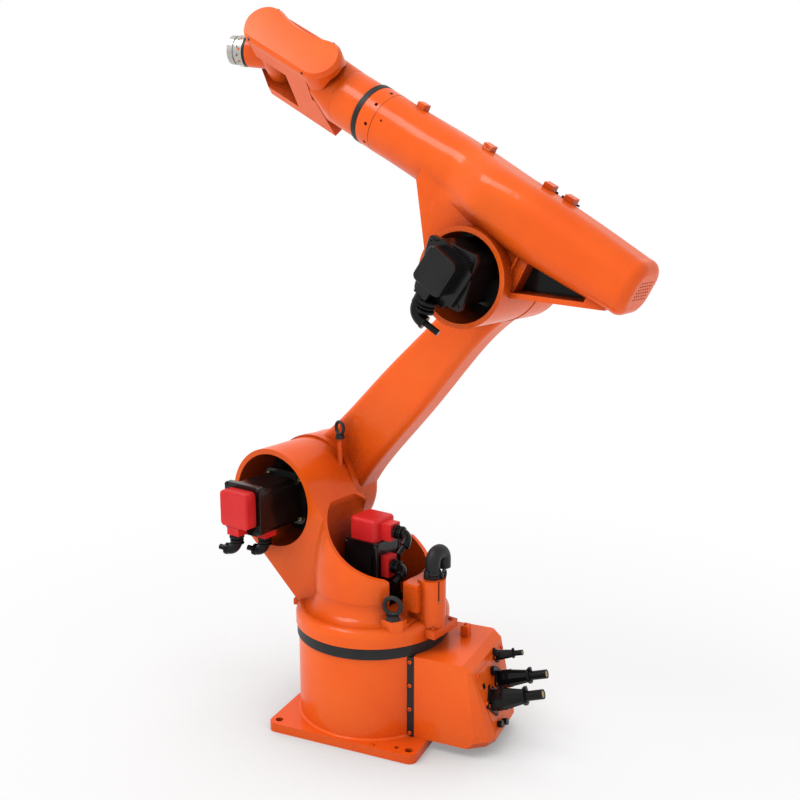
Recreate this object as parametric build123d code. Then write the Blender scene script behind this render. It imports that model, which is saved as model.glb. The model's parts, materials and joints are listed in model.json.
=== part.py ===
from build123d import *
from math import atan2, cos, hypot, radians, sin, sqrt
import os

os.makedirs("parts", exist_ok=True)

# Pose of the arm at rest, in degrees
turn_a1 = -12.0
tilt_link = 133.6
tilt_arm = 27.9
roll_wrist = 38.5
bend_hand = -25.8
bend_limit = 130.0

# Axis layout of the arm
shoulder_height = 400.0
shoulder_reach = 180.0
link_length = 600.0
arm_offset = 120.0
wrist_reach = 558.0
flange_reach = 92.0

# Running gaps and clearances
gap_turn = 0.6
swing_clear = 5.0

# Base casting
base_side = 290.0
base_t = 17.0
base_corner_r = 14.0
base_hole_pitch = 258.0
base_hole_r = 7.0
dowel_shift = 23.0
dowel_r = 4.0
column_r = 137.0
column_wall = 17.0
column_top_t = 16.0
column_h = 170.0
foot_fillet = 4.0
base_bore_r = 42.0
ring_inset = 2.0
ring_h = 20.0
ring_inner_r = 112.0

# Connection box behind the column, flush with the top of the column
box_half_w = 85.0
box_foot = base_t
box_h = column_h
strip_w = 12.0
strip_proud = 1.0
box_top_back = 210.0
box_slope_back = 225.0
box_foot_back = 262.0
box_slope_drop = 12.0
box_slope_foot = 13.0
box_wall = 6.0
plug_foot_t = 4.0
stop_x = -170.0
stop_y = -37.0
stop_t = 14.0
stop_w = 18.0
stop_h = 20.0

# Turntable casting
table_r = 142.0
table_rim_h = 17.0
table_shoulder_h = 33.0
table_flare_h = 67.0
table_body_r = 107.0
dome_start_h = 100.0
dome_top_r = 84.0
dome_swell = 3.5
saddle_x = -166.0
saddle_rise = 95.5
shoulder_outer_r = 98.0
shoulder_inner_r = 88.0
shoulder_near = 72.5
shoulder_far = -45.0
shoulder_floor_t = 18.0
wall_far = -57.0
link_pass = 75.0
boss_x = -133.0
boss_y = 2.0
boss_r = 25.0
boss_rise = 107.0
block_rise = 103.0
block_front = -98.0
block_far = -34.0
pad_near = 42.0
pad_back = -128.0
pad_low = 52.0
ledge_h = 47.0
stop_bar_out = 16.0
stop_bar_h = 15.0
post_x = 104.0
post_y = -36.0
post_r = 5.4
post_top_rise = 108.0
eye_inset_x = 39.0
eye_inset_y = 64.0

# Motors
m1_side = 72.0
m1_x = 0.0
m1_rise = 157.0
m1_cap_h = 40.0
m1_cap_side = 61.0
well_gap = 13.0
m2_side = 86.0
m2_near = 150.0
m2_cap_side = 67.0
m2_cap_t = 24.0
m2_cap_lift = 6.7
m3_side = 84.0
m3_near = 128.0
m3_cap_w = 56.0
m3_cap_h = 62.0
m3_cap_t = 24.0
m3_shift_a = 5.0
m3_shift_n = 8.0
m3_turn = 8.0
notch_r = 11.0
end_plate_t = 24.0
motor_flange_t = 10.0

# Link arm
gear_t = 16.0
gear_over = 2.0
link_t = 68.0
link_corner = 15.0
eye_low_r = 100.0
eye_high_r = 80.0
link_half_low = 60.0
link_half_high = 46.0

# Forearm casting
tube_r = 51.0
drum_outer_r = 79.0
drum_inner_r = 71.0
drum_near = 80.0
drum_far = -40.0
drum_floor_t = 16.0
web_near = 52.0
web_start = 160.0
house_near = 80.0
house_far = -12.0
house_half_h = 52.0
house_corner = 36.0
house_back = -226.0
house_end_half = 43.0
cover_t_rear = 24.0
wrist_ring_a = 312.0
wrist_ring_w = 10.0
collar_w = 29.0
rail_t = 9.0
rail_near = 58.0
recess_floor = 22.0
boss_size = 17.0
boss_h = 9.0

# Wrist
roll_tube_r = 49.0
fork_half_gap = 37.0
near_cheek_out = 60.0
far_cheek_t = 16.0
near_half_w = 39.0
far_half_w = 49.0
web_front = 58.0
cover_offset = 79.0
cover_r = 34.0
cover_skirt = 5.0
cover_bevel = 8.0
cover_pitch = 136.0
cover_waist = 24.5
hand_r = 33.0
neck_r = 27.0
flange_stack = 36.0
seal_w = 5.0
flange_r = 25.0
flange_hole_pcd = 40.0
flange_hole_r = 2.5
flange_hole_deep = 8.0
flange_bore_r = 12.5


def rest(part, name):
    """Name one piece and write it out."""
    part.label = name
    export_step(part, "parts/" + name + ".step")
    return part


def box_between(x0, x1, y0, y1, z0, z1):
    return Pos((x0 + x1) / 2, (y0 + y1) / 2, (z0 + z1) / 2) * Box(abs(x1 - x0), abs(y1 - y0), abs(z1 - z0))


def xz_slab(pts, y0, y1):
    """Slab between two Y values with a closed outline in X and Z."""
    face = make_face(Plane.XZ * Polyline(*pts, pts[0]))
    return Pos(0, y0, 0) * extrude(face, y1 - y0, dir=(0, 1, 0))


def y_disc(r, x, z, y0, y1):
    """Disc on an axis along Y."""
    return Plane(origin=(x, y0, z), z_dir=(0, 1, 0)) * extrude(Circle(r), y1 - y0)


def x_disc(r, x0, x1):
    """Disc on the X axis."""
    return Plane(origin=(x0, 0, 0), z_dir=(1, 0, 0)) * extrude(Circle(r), x1 - x0)


# Frames of the moving bodies
frame_table = Location((0, 0, 0), (0, 0, turn_a1))
frame_link = frame_table * Location((shoulder_reach, 0, shoulder_height), (0, -tilt_link, 0))
elbow_x = shoulder_reach + link_length * cos(radians(tilt_link))
elbow_z = shoulder_height + link_length * sin(radians(tilt_link))
frame_arm = frame_table * Location((elbow_x, 0, elbow_z), (0, -tilt_arm, 0))
frame_roll = frame_arm * Location((wrist_reach, 0, arm_offset)) * Location((0, 0, 0), (roll_wrist, 0, 0))
frame_hand = frame_roll * Location((0, 0, 0), (0, -bend_hand, 0))

# Base casting: square plate with bolt holes, and a hollow round column that is open below
base = extrude(RectangleRounded(base_side, base_side, base_corner_r), base_t)
base += extrude(Circle(column_r), column_h)
foot_edges = base.edges().filter_by(GeomType.CIRCLE)
foot_edges = foot_edges.filter_by(lambda e: abs(e.center().Z - base_t) < 0.1 and abs(e.radius - column_r) < 0.5)
base = fillet(foot_edges, foot_fillet)
base -= extrude(Circle(column_r - column_wall), column_h - column_top_t)
base -= extrude(Circle(base_bore_r), column_h)
hole_at = base_hole_pitch / 2
for corner in GridLocations(base_hole_pitch, base_hole_pitch, 2, 2):
    base -= corner * extrude(Circle(base_hole_r), base_t)
for sx in (-1, 1):
    base -= Pos(sx * (hole_at - dowel_shift), -sx * hole_at, 0) * extrude(Circle(dowel_r), base_t)
rest(base, "base_frame")

# Black seal ring between the column and the turntable
ring_r = table_r - ring_inset
ring = Pos(0, 0, column_h) * extrude(Circle(ring_r) - Circle(ring_inner_r), ring_h)
rest(ring, "base_seal_ring")
table_z = column_h + ring_h + gap_turn

# Connection box: a sloping back with cut corners, open to the column in front
strip_x = sqrt(column_r**2 - box_half_w**2)
slope_top_z = box_h - box_slope_drop
slope_foot_z = box_foot + box_slope_foot


def box_ring(z, back, cut_x, cut_y, inset=0.0):
    """Outline of the box at one height: the back corners are cut by cut_x and cut_y."""
    yw = box_half_w - inset
    b = back - inset
    pts = [
        (-strip_x - strip_w, yw, z),
        (-b + cut_x, yw, z),
        (-b + cut_x * 0.25, yw - cut_y * 0.5, z),
        (-b, yw - cut_y, z),
        (-b, -yw + cut_y, z),
        (-b + cut_x * 0.25, -yw + cut_y * 0.5, z),
        (-b + cut_x, -yw, z),
        (-strip_x - strip_w, -yw, z),
    ]
    return Face(Wire.make_polygon([Vector(*p) for p in pts], close=True))


ring_foot = box_ring(box_foot, box_foot_back - 6, 37, 43)
ring_wide = box_ring(slope_foot_z, box_foot_back, 30, 36)
ring_slope = box_ring(slope_top_z, box_slope_back, 6, 8)
ring_top = box_ring(box_h, box_top_back, 4, 5)
conn = loft([ring_foot, ring_wide], ruled=True)
conn += loft([ring_wide, ring_slope], ruled=True)
conn += loft([ring_slope, ring_top], ruled=True)
in_foot = box_ring(box_foot + box_wall, box_foot_back - 3, 30, 36, box_wall)
in_wide = box_ring(slope_foot_z + box_wall, box_foot_back - 2, 28, 34, box_wall)
in_top = box_ring(box_h - box_wall, box_slope_back - 5, 6, 8, box_wall)
conn -= loft([in_foot, in_wide], ruled=True) + loft([in_wide, in_top], ruled=True)
foot_clear = extrude(Circle(column_r + foot_fillet + 0.3), base_t + foot_fillet + 0.3)
conn -= extrude(Circle(column_r), box_h + 1) + foot_clear
conn -= box_between(-base_side / 2, 0, -base_side / 2, base_side / 2, -1, base_t)
rest(conn, "connection_box")

# Black strips that close the joint between column and box
strip_out = box_half_w + strip_proud
strips = box_between(-strip_x - strip_w, -strip_x + 2, -strip_out, strip_out, base_t, box_h - 2)
strips -= extrude(Circle(column_r), box_h + 1) + foot_clear
rest(strips, "box_joint_strips")

# Fixed stop on top of the box
stop = Pos(stop_x, stop_y, box_h) * box_between(-stop_t / 2, stop_t / 2, -stop_w / 2, stop_w / 2, 0, stop_h)
stop = chamfer(stop.faces().sort_by(Axis.Z)[-1].edges(), 1.5)
rest(stop, "base_stop_block")

# Sloping direction of the back of the box, and the frame of its connectors
slope_run = box_foot_back - box_slope_back
slope_rise = slope_top_z - slope_foot_z
slope_len = hypot(slope_run, slope_rise)
slope_out = Vector(-slope_rise / slope_len, 0, slope_run / slope_len)


def on_slope(y, share):
    """Point on the sloping back of the box, by its share of the height."""
    return Vector(-box_slope_back - slope_run * (1 - share), y, slope_foot_z + slope_rise * share)


def tapered_plug(y, share, base_r, len_base, neck_r, length, end_r, tilt):
    """A cable plug on a square foot: collar, tapered body with a clamp nut, and cable stub."""
    at = on_slope(y, share)
    out = Vector(-cos(radians(tilt)), 0, sin(radians(tilt)))
    foot_plane = Plane(origin=at, z_dir=slope_out, x_dir=(0, 1, 0))
    foot_shape = RectangleRounded(base_r * 2.4, base_r * 2.4, base_r * 0.3)
    foot = foot_plane * Rot(0, 0, 45) * extrude(foot_shape, plug_foot_t)
    prof = Polyline(
        (0, -2),
        (base_r, -2),
        (base_r, len_base),
        (base_r * 0.86, len_base + 2),
        (neck_r, length * 0.66),
        (neck_r * 1.3, length * 0.67),
        (neck_r * 1.3, length * 0.74),
        (neck_r, length * 0.75),
        (neck_r, length * 0.78),
        (end_r, length * 0.8),
        (end_r, length),
        (0, length),
        (0, -2),
    )
    body = Plane(origin=at + slope_out * plug_foot_t, z_dir=out, x_dir=(0, 1, 0)) * revolve(make_face(Plane.XZ * prof), Axis.Z)
    behind = Plane(origin=at, z_dir=-slope_out) * extrude(Rectangle(200, 200), 40)
    return foot + (body - behind)


rest(tapered_plug(-38, 0.84, 9, 9, 6, 52, 4, 8), "cable_plug_small")
rest(tapered_plug(-20, 0.55, 15, 20, 8.5, 92, 6, 8), "cable_plug_middle")
rest(tapered_plug(22, 0.375, 16, 24, 9, 98, 6, 6), "cable_plug_lower")
knob = Plane(origin=on_slope(2, 0.77), z_dir=slope_out) * (extrude(Circle(7), 5) + extrude(Circle(9), 9) - extrude(Circle(9), 4))
knob += Plane(origin=on_slope(2, 0.77), z_dir=slope_out) * extrude(Circle(6), 5)
rest(knob, "box_knob")
mini = Plane(origin=on_slope(32, 0.125), z_dir=slope_out) * extrude(Circle(6), 10)
mini += Plane(origin=on_slope(10, 0.08), z_dir=slope_out) * extrude(Circle(6), 10)
rest(mini, "box_blind_plugs")

# Turntable casting, in its own frame: +X towards the tool, +Y towards the motor side.
# Its round body is one revolved outline: rim, rounded shoulder, hollow flare and a domed wall.
rim_z = table_z + table_rim_h
shoulder_z = table_z + table_shoulder_h
flare_z = table_z + table_flare_h
dome_z = table_z + dome_start_h
dome_top_z = shoulder_height + 10.0
dome_mid_r = (table_body_r + dome_top_r) / 2 + dome_swell
outline = [
    Line((0, table_z), (table_r, table_z)),
    Line((table_r, table_z), (table_r, rim_z)),
    ThreePointArc((table_r, rim_z), (table_r - 4.5, shoulder_z - 5), (table_r - 16, shoulder_z)),
    ThreePointArc((table_r - 16, shoulder_z), (table_body_r + 4, shoulder_z + 11), (table_body_r, flare_z)),
    Line((table_body_r, flare_z), (table_body_r, dome_z)),
    ThreePointArc((table_body_r, dome_z), (dome_mid_r, (dome_z + dome_top_z) / 2), (dome_top_r, dome_top_z)),
    Line((dome_top_r, dome_top_z), (0, dome_top_z + 60)),
    Line((0, dome_top_z + 60), (0, table_z)),
]
table = revolve(make_face(Plane.XZ * Curve(children=outline)), Axis.Z)

# Saddle behind the shoulder: a hollow round cut that leaves the shoulder tube on a tangent
saddle_low = table_z + saddle_rise
sx_run = shoulder_reach - saddle_x
sz_run = shoulder_height - saddle_low
saddle_r = (sx_run**2 + sz_run**2 - shoulder_outer_r**2) / (2 * (sz_run + shoulder_outer_r))
saddle_z = saddle_low + saddle_r
saddle_far = hypot(sx_run, saddle_z - shoulder_height)
tan_x = shoulder_reach - shoulder_outer_r * sx_run / saddle_far
tan_z = shoulder_height + shoulder_outer_r * (saddle_z - shoulder_height) / saddle_far

# Front wall: the tangent from the shoulder tube down to the rim
foot_x = 118.0
foot_z = shoulder_z - 9
dx = foot_x - shoulder_reach
dz = foot_z - shoulder_height
foot_d = hypot(dx, dz)
tan_a = atan2(-dz, -dx)
half = atan2(shoulder_outer_r, sqrt(foot_d**2 - shoulder_outer_r**2))
t_len = sqrt(foot_d**2 - shoulder_outer_r**2)
neck_pts = [
    (foot_x, foot_z),
    (foot_x + t_len * cos(tan_a - half), foot_z + t_len * sin(tan_a - half)),
    (shoulder_reach, shoulder_height),
    (tan_x, tan_z),
    (tan_x - sx_run * 0.1, tan_z + (saddle_z - shoulder_height) * 0.1),
    (-60, tan_z),
    (-60, foot_z),
]
table += xz_slab(neck_pts, shoulder_far, shoulder_near)
table -= box_between(-200, 400, -200, wall_far, shoulder_height - link_pass, shoulder_height + 300)
table -= y_disc(saddle_r, saddle_x, saddle_z, -200, 200)
table += y_disc(shoulder_outer_r, shoulder_reach, shoulder_height, shoulder_far, shoulder_near)
swing_r = eye_low_r + gear_over + swing_clear
table -= y_disc(swing_r, shoulder_reach, shoulder_height, -300, shoulder_far)
table -= y_disc(shoulder_inner_r, shoulder_reach, shoulder_height, shoulder_far + shoulder_floor_t, 200)

# Well of the upright motor, and the slot behind it
m1_foot = shoulder_z + 1
well_half = m1_side / 2 + well_gap
table -= box_between(m1_x - well_half, m1_x + well_half, -well_half, well_half, m1_foot, shoulder_height + 60)
slot_low = shoulder_z + 4
table -= box_between(-table_body_r - 20, m1_x, -22, well_half, slot_low, shoulder_height + 60)

# Block and boss behind the slot, the ledge beside them with its ramp, and the turning stop
block = box_between(boss_x, block_front, block_far, boss_y + boss_r, table_z + 5, table_z + block_rise)
block += box_between(pad_back, block_front, boss_y, pad_near, table_z + pad_low, table_z + block_rise)
block += Pos(boss_x, boss_y, table_z + 5) * extrude(Circle(boss_r), boss_rise - 5)
table += block
ledge_z = table_z + ledge_h
ramp_in = table_body_r - 20
ramp_out = table_r - 3
ramp_pts = [(ramp_in, table_z + 5), (ramp_out, table_z + 5), (ramp_out, table_z + 9), (98, ledge_z), (ramp_in, ledge_z)]
ramp = Rot(0, 0, 127) * xz_slab(ramp_pts, -42, 34)
ramp += box_between(-120, -86, 0, 88, table_z + 5, ledge_z)
ramp &= Pos(0, 0, table_z) * extrude(Circle(table_r - 2), boss_rise)
ramp -= box_between(-table_body_r - 20, m1_x, -22, 60, slot_low, shoulder_height)
table += ramp
bar_out = table_r + stop_bar_out
bar = box_between(-bar_out, -table_body_r, -44, 30, table_z + 6, table_z + 6 + stop_bar_h)
table += bar

# Post and collar of the two lifting eyes
post_top = shoulder_height + post_top_rise
table += Pos(post_x, post_y, shoulder_height) * extrude(Circle(post_r), post_top_rise)
eye_x = -(table_r - eye_inset_x)
eye_y = table_r - eye_inset_y
table += Pos(eye_x, eye_y, table_z + 12) * extrude(Circle(10), ledge_h - 11)
eye_top = ledge_z + 1
rest(frame_table * table, "turntable_casting")


def notched(side, length):
    """Square motor body with a round groove along each corner."""
    body = extrude(RectangleRounded(side, side, 5), length)
    for spot in GridLocations(side, side, 2, 2):
        body -= spot * extrude(Circle(notch_r), length)
    return body


# Turntable motor, upright in its well
m1_top = table_z + m1_rise
m1 = Pos(m1_x, 0, m1_foot) * notched(m1_side, m1_top - m1_foot)
m1 += Pos(m1_x, 0, m1_top - end_plate_t) * extrude(RectangleRounded(m1_side, m1_side, 8), end_plate_t)
m1 += Pos(m1_x, 0, m1_foot) * extrude(RectangleRounded(m1_side + 18, m1_side + 18, 8), motor_flange_t)
rest(frame_table * m1, "turntable_motor")
m1_cap = Pos(m1_x, 0, m1_top) * extrude(RectangleRounded(m1_cap_side, m1_cap_side, 10), m1_cap_h)
m1_cap = fillet(m1_cap.faces().sort_by(Axis.Z)[-1].edges(), 6)
socket_x = m1_x - m1_cap_side / 2
m1_cap += box_between(socket_x - 22, socket_x + 1, -13, 15, m1_top + 3, m1_top + 34)
rest(frame_table * m1_cap, "turntable_motor_cap")
socket_out = 17.0
side_x = m1_x - m1_side / 2
side_z = m1_top - 43
m1_socket = box_between(side_x - socket_out, side_x, -2, 22, side_z - 20, side_z + 19)
rest(frame_table * m1_socket, "turntable_motor_socket")


def elbow_plug(r, at, out, turn, reach, drop, stub_r, stub):
    """Round plug with two rings that leaves along out, bends towards turn and ends in a stub."""
    o = Vector(*out).normalized()
    t = Vector(*turn).normalized()
    p0 = Vector(*at)
    p1 = p0 + o * reach
    p2 = p1 + t * drop
    path = FilletPolyline(p0, p1, p2, radius=min(reach, drop) * 0.75)
    start = Plane(origin=p0, z_dir=o)
    end = Plane(origin=p2, z_dir=t)
    body = sweep(start * Circle(r), path=path)
    body += start * extrude(Circle(r * 1.16), reach * 0.2)
    body += Plane(origin=p0 + o * reach * 0.3, z_dir=o) * extrude(Circle(r * 1.1), reach * 0.16)
    body += Plane(origin=p2 - t * drop * 0.2, z_dir=t) * extrude(Circle(r * 1.12), drop * 0.2)
    body += end * extrude(Circle(stub_r), stub)
    return body


upper_at = (socket_x - 22, 1, m1_top + 19)
plug_up = elbow_plug(9, upper_at, (-1, 0, 0), (0.1, 0.75, -0.65), 34, 24, 5, 18)
rest(frame_table * plug_up, "turntable_motor_plug_upper")
lower_at = (side_x - socket_out, 10, side_z)
plug_low = elbow_plug(9, lower_at, (-1, 0, 0), (0.05, 0.9, -0.4), 30, 22, 5, 16)
rest(frame_table * plug_low, "turntable_motor_plug_lower")

# Shoulder motor, lying in the shoulder tube
m2_floor = shoulder_far + shoulder_floor_t
m2_plane = Plane(origin=(shoulder_reach, m2_floor, shoulder_height), z_dir=(0, 1, 0), x_dir=(1, 0, 0))
m2 = m2_plane * notched(m2_side, m2_near - m2_floor)
m2 += m2_plane * extrude(Circle(shoulder_inner_r - 3), motor_flange_t)
m2 += y_disc(m2_side / 2 - 2, shoulder_reach, shoulder_height, m2_floor, m2_near - end_plate_t)
rest(frame_table * m2, "shoulder_motor")
cap_z = shoulder_height + m2_cap_lift
cap_plane = Plane(origin=(shoulder_reach, m2_near, cap_z), z_dir=(0, 1, 0), x_dir=(1, 0, 0))
m2_cap = cap_plane * extrude(RectangleRounded(m2_cap_side, m2_cap_side, 9), m2_cap_t)
m2_cap = fillet(m2_cap.faces().sort_by(Axis.Y)[-1].edges(), 4)
rest(frame_table * m2_cap, "shoulder_motor_cap")
front_z = cap_z - m2_cap_side / 2
m2_socket = box_between(shoulder_reach - 10, shoulder_reach + 18, m2_near, m2_near + 22, front_z - 15, front_z)
rest(frame_table * m2_socket, "shoulder_motor_socket_front")
rear_z = shoulder_height - m2_side / 2
rear_y = m2_near - 42
m2_socket2 = box_between(shoulder_reach - 28, shoulder_reach + 2, rear_y - 15, rear_y + 15, rear_z - 13, rear_z)
rest(frame_table * m2_socket2, "shoulder_motor_socket_rear")
front_at = (shoulder_reach + 4, m2_near + 12, front_z - 15)
plug_front = elbow_plug(9.5, front_at, (0, 0, -1), (0.95, 0.2, 0.1), 32, 24, 5, 13)
rest(frame_table * plug_front, "shoulder_motor_plug_front")
rear_at = (shoulder_reach - 13, rear_y, rear_z - 13)
plug_rear = elbow_plug(9.5, rear_at, (0, 0, -1), (0.95, 0.2, 0.1), 32, 24, 5, 13)
rest(frame_table * plug_rear, "shoulder_motor_plug_rear")


def eye_bolt(at, ring_r, wire_r, normal):
    """Lifting eye on a round collar, standing on a point."""
    x, y, z = at
    eye = Plane(origin=(x, y, z + 7 + ring_r + wire_r * 0.6), z_dir=normal) * Torus(ring_r, wire_r)
    return eye + Pos(x, y, z) * extrude(Circle(ring_r * 0.75), 8)


# Lifting eyes, the upper one on the post of the casting
rest(frame_table * eye_bolt((post_x, post_y, post_top), 11.5, 3.2, (0.25, 1, 0)), "lifting_eye_upper")
rest(frame_table * eye_bolt((eye_x, eye_y, eye_top), 15, 4, (-0.3, 1, 0)), "lifting_eye_lower")

# Hose elbow on the rear boss
hose_r = 13.5
hose_up = 42.0
hose_z = table_z + boss_rise
hose_path = FilletPolyline(
    (boss_x, boss_y - 2, hose_z),
    (boss_x, boss_y - 2, hose_z + hose_up),
    (boss_x, boss_y - 36, hose_z + hose_up),
    (boss_x, boss_y - 36, hose_z + 10),
    radius=16.5,
)
hose = sweep(Plane(origin=(boss_x, boss_y - 2, hose_z), z_dir=(0, 0, 1)) * Circle(hose_r), path=hose_path)
hose += Pos(boss_x, boss_y - 2, hose_z) * extrude(Circle(hose_r + 2.5), 6)
rest(frame_table * hose, "hose_elbow")

# Shoulder gear: round flange between the casting and the link
gear_far = shoulder_far - gap_turn - gear_t
rest(frame_link * y_disc(eye_low_r + gear_over, 0, 0, gear_far, shoulder_far - gap_turn), "shoulder_gear_flange")

# Link casting: a waisted beam with rounded edges between two round eyes
link_near = gear_far
link_far = link_near - link_t


def link_section(at, half_w):
    """Rounded cross-section of the beam at one place along the link."""
    plane = Plane(origin=(at, (link_near + link_far) / 2, 0), z_dir=(1, 0, 0), x_dir=(0, 1, 0))
    return plane * RectangleRounded(link_t, half_w * 2, link_corner)


beam = loft(
    [
        link_section(20, eye_low_r * 0.85),
        link_section(eye_low_r + 20, link_half_low),
        link_section(link_length / 2, (link_half_low + link_half_high) / 2),
        link_section(link_length - eye_high_r - 20, link_half_high),
        link_section(link_length - 20, eye_high_r * 0.84),
    ]
)
eye_low = y_disc(eye_low_r, 0, 0, link_far, link_near)
eye_high = y_disc(eye_high_r, link_length, 0, link_far, link_near)
eye_low = fillet(eye_low.faces().sort_by(Axis.Y)[0].edges(), link_corner)
eye_high = fillet(eye_high.faces().sort_by(Axis.Y)[0].edges(), link_corner)
link = beam + eye_low + eye_high
rest(frame_link * link, "link_casting")

# Elbow gear flange
rest(frame_link * y_disc(eye_high_r, link_length, 0, link_near, drum_far - gap_turn), "elbow_gear_flange")

# Forearm casting, in its own frame: +X along the forearm, +Z up, origin on the elbow axis


def arm_section(a, near, far, top, low, corner):
    """Rounded cross-section of the forearm; top and low are measured from the tube axis."""
    plane = Plane(origin=(a, (near + far) / 2, arm_offset + (top - low) / 2), z_dir=(1, 0, 0), x_dir=(0, 1, 0))
    return plane * RectangleRounded(near - far, top + low, corner)


tube_front = wrist_ring_a - gap_turn
arm = loft(
    [
        arm_section(tube_front - collar_w, tube_r, -tube_r, tube_r + 0.1, tube_r + 0.1, tube_r - 0.3),
        arm_section(175, tube_r + 0.5, -tube_r, tube_r + 0.2, tube_r + 0.2, tube_r - 0.3),
        arm_section(110, tube_r + 9, -tube_r + 2, tube_r + 0.4, tube_r + 0.4, tube_r - 3),
        arm_section(40, house_near - 7, -tube_r + 17, house_half_h - 0.3, house_half_h - 0.3, house_corner + 6),
        arm_section(-30, house_near, house_far - 8, house_half_h, house_half_h, house_corner),
    ]
)
arm += loft(
    [
        arm_section(-30, house_near, house_far - 8, house_half_h, house_half_h, house_corner),
        arm_section(-110, house_near, house_far - 2, house_half_h - 1, house_half_h - 2, house_corner),
        arm_section(house_back, house_near, house_far, house_end_half + 1, house_end_half - 1, house_corner - 4),
    ]
)
drum = y_disc(drum_outer_r, 0, 0, drum_far, drum_near)
# Web between drum and tube: its front edge is tangent to the drum
wx = web_start
wz = arm_offset - tube_r * 0.72
web_d = hypot(wx, wz)
w_len = sqrt(web_d**2 - drum_outer_r**2)
w_ang = atan2(-wz, -wx) + atan2(drum_outer_r, w_len)
web_pts = [
    (wx, wz + 20),
    (wx, wz),
    (wx + w_len * cos(w_ang), wz + w_len * sin(w_ang)),
    (0, 0),
    (-drum_outer_r, 0),
    (-drum_outer_r, arm_offset),
    (wx, arm_offset),
]
web = xz_slab(web_pts, drum_far + 8, web_near)
# Rear bracket: a sloping rail under the housing, with a recess behind it
rail_a = -drum_outer_r * 0.76
rail_b = house_back + 4
rail_n0 = drum_outer_r * 0.02
rail_n1 = arm_offset - house_end_half - 1
rail_slope = (rail_n1 - rail_n0) / (rail_a - rail_b)
rail_top = arm_offset - house_half_h + 12
rail = xz_slab([(rail_a, rail_n0), (rail_b, rail_n1), (rail_b, rail_top + 8), (rail_a, rail_top)], drum_far + 8, rail_near)
rec_a = rail_a - 3
rec_b = rail_b + 34
rec_pts = [
    (rec_a, rail_n0 + rail_slope * 3 + rail_t),
    (rec_b, rail_n0 + rail_slope * (rail_a - rec_b) + rail_t),
    (rec_b, rail_top),
    (rec_a, rail_top),
]
rail -= xz_slab(rec_pts, recess_floor, rail_near + 1)
arm += web + rail + drum
arm -= y_disc(drum_inner_r, 0, 0, drum_far + drum_floor_t, drum_near + 40)
arm -= y_disc(eye_high_r + swing_clear, 0, 0, drum_far - 60, drum_far)
# Small square bosses on the back of the forearm
for boss_a, boss_s in ((235, -2), (90, 2), (-38, 12), (-78, 12)):
    spot = Pos(boss_a, boss_s, arm_offset + tube_r - 8)
    arm += spot * extrude(Rectangle(boss_size, boss_size), boss_h + 8)
rest(frame_arm * arm, "forearm_casting")

# Round end collar of the forearm tube
collar = x_disc(tube_r, tube_front - collar_w, tube_front)
rest(frame_arm * Pos(0, 0, arm_offset) * collar, "forearm_collar")

# Rear cover with rounded edges
rear_face = arm_section(house_back, house_near, house_far, house_end_half + 1, house_end_half - 1, house_corner - 4)
rear = extrude(rear_face, amount=-cover_t_rear)
rear = fillet(rear.faces().sort_by(Axis.X)[0].edges(), 16)
rest(frame_arm * rear, "forearm_rear_cover")

# Black panel in the recess of the rear bracket
panel_pts = [(rec_a - 1, rec_pts[0][1] + 2), (rec_b + 12, rec_pts[1][1] - 4), (rec_b + 12, rail_top - 2), (rec_a - 1, rail_top - 2)]
panel = (xz_slab(panel_pts, recess_floor, recess_floor + 5) - arm).solids().sort_by(SortBy.VOLUME)[-1]
rest(frame_arm * panel, "bracket_panel")

# Elbow motor, in the drum
m3_floor = drum_far + drum_floor_t
m3_at = Location((m3_shift_a, 0, m3_shift_n), (0, -m3_turn, 0))
m3_plane = Plane(origin=(0, m3_floor, 0), z_dir=(0, 1, 0), x_dir=(1, 0, 0))
m3 = m3_at * (m3_plane * notched(m3_side, m3_near - m3_floor))
m3 += y_disc(drum_inner_r - 3, 0, 0, m3_floor, m3_floor + motor_flange_t)
rest(frame_arm * m3, "elbow_motor")
m3_cap_plane = Plane(origin=(3, m3_near, 4), z_dir=(0, 1, 0), x_dir=(1, 0, 0))
m3_cap = m3_cap_plane * extrude(RectangleRounded(m3_cap_w, m3_cap_h, 9), m3_cap_t)
m3_cap = fillet(m3_cap.faces().sort_by(Axis.Y)[-1].edges(), 3)
rest(frame_arm * m3_at * m3_cap, "elbow_motor_cap")
m3_low = 4 - m3_cap_h / 2
m3_socket = box_between(-10, 16, m3_near, m3_near + 20, m3_low - 16, m3_low)
rest(frame_arm * m3_at * m3_socket, "elbow_motor_socket")
m3_plug = elbow_plug(10, (3, m3_near + 10, m3_low - 16), (0, 0, -1), (-0.95, -0.2, 0.0), 34, 26, 5, 26)
rest(frame_arm * m3_at * m3_plug, "elbow_motor_plug")

# Wrist, in the rolling frame: +X along the forearm, +Y towards the belt cover, origin on the bend axis
roll_back = wrist_ring_a - wrist_reach
rest(frame_roll * x_disc(tube_r + 0.5, roll_back, roll_back + wrist_ring_w), "wrist_seal_ring")
far_out = fork_half_gap + far_cheek_t


def roll_section(x, y0, y1, half_h, corner):
    """Rounded cross-section of the wrist fork."""
    plane = Plane(origin=(x, (y0 + y1) / 2, 0), z_dir=(1, 0, 0), x_dir=(0, 1, 0))
    return plane * RectangleRounded(y1 - y0, half_h * 2, corner)


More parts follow.
